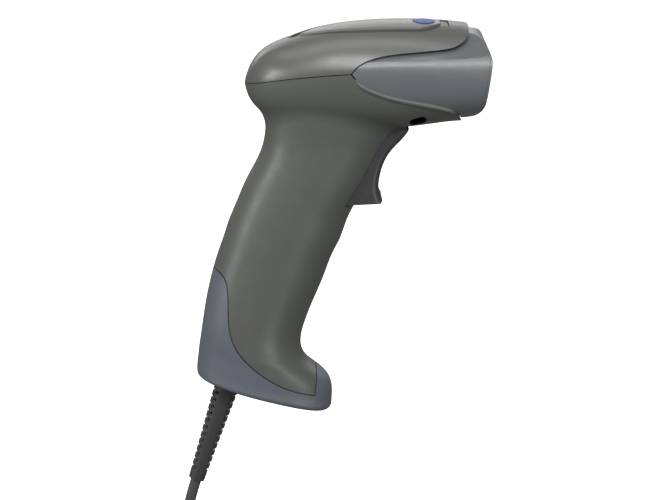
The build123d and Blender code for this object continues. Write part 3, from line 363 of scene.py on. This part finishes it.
MATERIALS.update(circuit_board=circuit_board("circuit_board"), light_lens=light_lens("light_lens"),
                 window=dark_window("window"), optic=clear_glass("optic"))


def dress_nodes():
    """Gives every CAD node the material of its slot."""
    for part in frame["record"]["subparts"]:
        mesh = NODES[part["node"]].data
        mesh.materials.clear()
        mesh.materials.append(MATERIALS[part["material_slot"]])


# ---- the slot's painted shade: a thin dark sleeve in place of the shade deep inside it ---
SLOT_PLACE, SLOT_TILT = (0.0569, 0.0509), math.radians(20)
SLOT_SIZE = (7.6 * MM, 4.2 * MM)
SHADE_LINING_GAP, SHADE_LINING_WALL = 0.05 * MM, 0.25 * MM
SHADE_LINING_INSET = 0.8 * MM      # the painted-shade sleeve stops this far inside the chin's skin
SKIN_OFFSET = 0.3 * MM       # the chin's skin is measured this far outside the slot's edge
SHADE_LINING_STEPS = 40


def slot_ring(shrink):
    """X and Z of points round the hanging slot's outline, drawn in."""
    half, radius = (SLOT_SIZE[0] - SLOT_SIZE[1]) / 2, SLOT_SIZE[1] / 2 - shrink
    ring = []
    for i in range(SHADE_LINING_STEPS):
        turn = 2 * math.pi * i / SHADE_LINING_STEPS
        along = math.copysign(half, math.cos(turn)) + radius * math.cos(turn)
        up = radius * math.sin(turn)
        ring.append((SLOT_PLACE[0] + along * math.cos(SLOT_TILT) - up * math.sin(SLOT_TILT),
                     SLOT_PLACE[1] + along * math.sin(SLOT_TILT) + up * math.cos(SLOT_TILT)))
    return ring


def make_painted_shade_lining(skin):
    """Painted shade: a thin dark sleeve inside the hanging slot, in place of the shade deep in it,
    cut to the chin's skin at each end.
    """
    outer, inner = slot_ring(SHADE_LINING_GAP), slot_ring(SHADE_LINING_GAP + SHADE_LINING_WALL)
    rim = slot_ring(-SKIN_OFFSET)
    rings = []
    for side, ring in ((-1, outer), (1, outer), (1, inner), (-1, inner)):
        places = []
        for (x, z), (rim_x, rim_z) in zip(ring, rim):
            hit, _ = cast_inwards(skin, rim_x, rim_z, side)
            places.append((x, hit.y - side * SHADE_LINING_INSET, z))
        rings.append(places)
    mesh = bpy.data.meshes.new("slot_painted_shade")
    n = SHADE_LINING_STEPS
    faces = [(a * n + i, a * n + (i + 1) % n, b * n + (i + 1) % n, b * n + i)
             for a, b in ((0, 1), (1, 2), (2, 3), (3, 0)) for i in range(n)]
    mesh.from_pydata([place for ring in rings for place in ring], [], faces)
    # near-black material: painted shade on the slot's inner walls
    mesh.materials.append(MATERIALS["gasket"])
    shade_lining = new_object("slot_painted_shade", mesh)
    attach(shade_lining, "scanner")


# ---- studio ----------------------------------------------------------------------------
TARGET = Vector((0.02134, 0.0, -0.01139))
DISTANCE, ELEVATION, TURN = 1.300, math.radians(15), math.radians(2)
LENS, SENSOR = 159.47, 36.0
FLOOR_HALF = 12.0
AMBIENT = 0.20
# Place, aim and size in metres, and watts.
LIGHTS = {
    "overhead": ((0.02, 0.05, 1.0), (0.02, 0.0, 0), (1.4, 0.30), 3.5),
    "wall": ((0.05, 1.3, 0.42), (0.02, 0, 0.05), (2.4, 0.4), 5),
    "high front": ((-0.30, -0.75, 1.0), (-0.01, 0, 0.07), (0.5, 0.42), 6),
    "left": ((-1.0, -0.45, 0.30), (0, 0, 0), (0.24, 0.6), 5),
    "front": ((0.10, -1.5, 1.05), (0.02, 0, 0), (1.6, 0.5), 22),
    "low front": ((0.9, -1.3, -0.15), (0.0, 0, 0), (0.5, 0.9), 7),
}


def add_camera():
    """A long lens on the scanner's near side, a little above it and towards its rear."""
    look = Vector((math.sin(TURN) * math.cos(ELEVATION), math.cos(TURN) * math.cos(ELEVATION),
                   -math.sin(ELEVATION)))
    data = bpy.data.cameras.new("camera")
    data.lens, data.sensor_width = LENS, SENSOR
    camera = new_object("camera", data)
    camera.location = TARGET - look * DISTANCE
    camera.rotation_euler = look.to_track_quat("-Z", "Y").to_euler()
    bpy.context.scene.camera = camera


def add_light(name, place, aim, size, watts):
    """A white rectangular light that faces a point."""
    data = bpy.data.lights.new(name, "AREA")
    data.shape = "RECTANGLE"
    data.size, data.size_y = size
    data.energy = watts
    light = new_object(name, data)
    light.location = place
    light.rotation_euler = (Vector(aim) - Vector(place)).to_track_quat("-Z", "Y").to_euler()


def add_floor():
    """A plain pale floor under the put-away lead, lit on its own so that it stays white."""
    mesh = bpy.data.meshes.new("floor")
    half, z = FLOOR_HALF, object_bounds()[0][2]
    mesh.from_pydata([(-half, -half, z), (half, -half, z), (half, half, z), (-half, half, z)], [],
                     [(0, 1, 2, 3)])
    floor = new_object("floor", mesh)
    floor.visible_diffuse = False
    floor.visible_glossy = False
    material, tree, shader = new_material("floor")
    tooth = noise(tree, 30, 3)
    pale = blend_colours(tree, tooth, (0.90, 0.90, 0.90), (0.93, 0.93, 0.93))
    tree.links.new(pale, shader.inputs["Base Color"])
    tree.links.new(pale, shader.inputs["Emission Color"])
    shader.inputs["Emission Strength"].default_value = 0.95
    shader.inputs["Roughness"].default_value = 0.9
    shader.inputs["Specular IOR Level"].default_value = 0.1
    mesh.materials.append(material)


def add_studio():
    """A dim even room, with lights above, behind, at the left and in three places in front."""
    world = bpy.data.worlds.new("studio")
    world.use_nodes = True
    background = world.node_tree.nodes["Background"]
    background.inputs["Color"].default_value = (1, 1, 1, 1)
    background.inputs["Strength"].default_value = AMBIENT
    bpy.context.scene.world = world
    bpy.context.scene.view_settings.view_transform = "Standard"
    for name, setting in LIGHTS.items():
        add_light(name, *setting)


def main():
    """Dresses the CAD nodes, adds the loose pieces, then the floor below them and the lights."""
    dress_nodes()
    add_camera()
    skin = BVHTree.FromObject(NODES["handle_housing"], bpy.context.evaluated_depsgraph_get())
    make_lips(skin)
    # painted shade: a dark sleeve inside the hanging slot
    make_painted_shade_lining(skin)
    lead = cord_line()
    lead.data.materials.append(MATERIALS["cable_jacket"])
    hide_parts("cable", "cable_coil", "cable_tail")
    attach(lead, "scanner")
    add_floor()
    add_studio()


main()
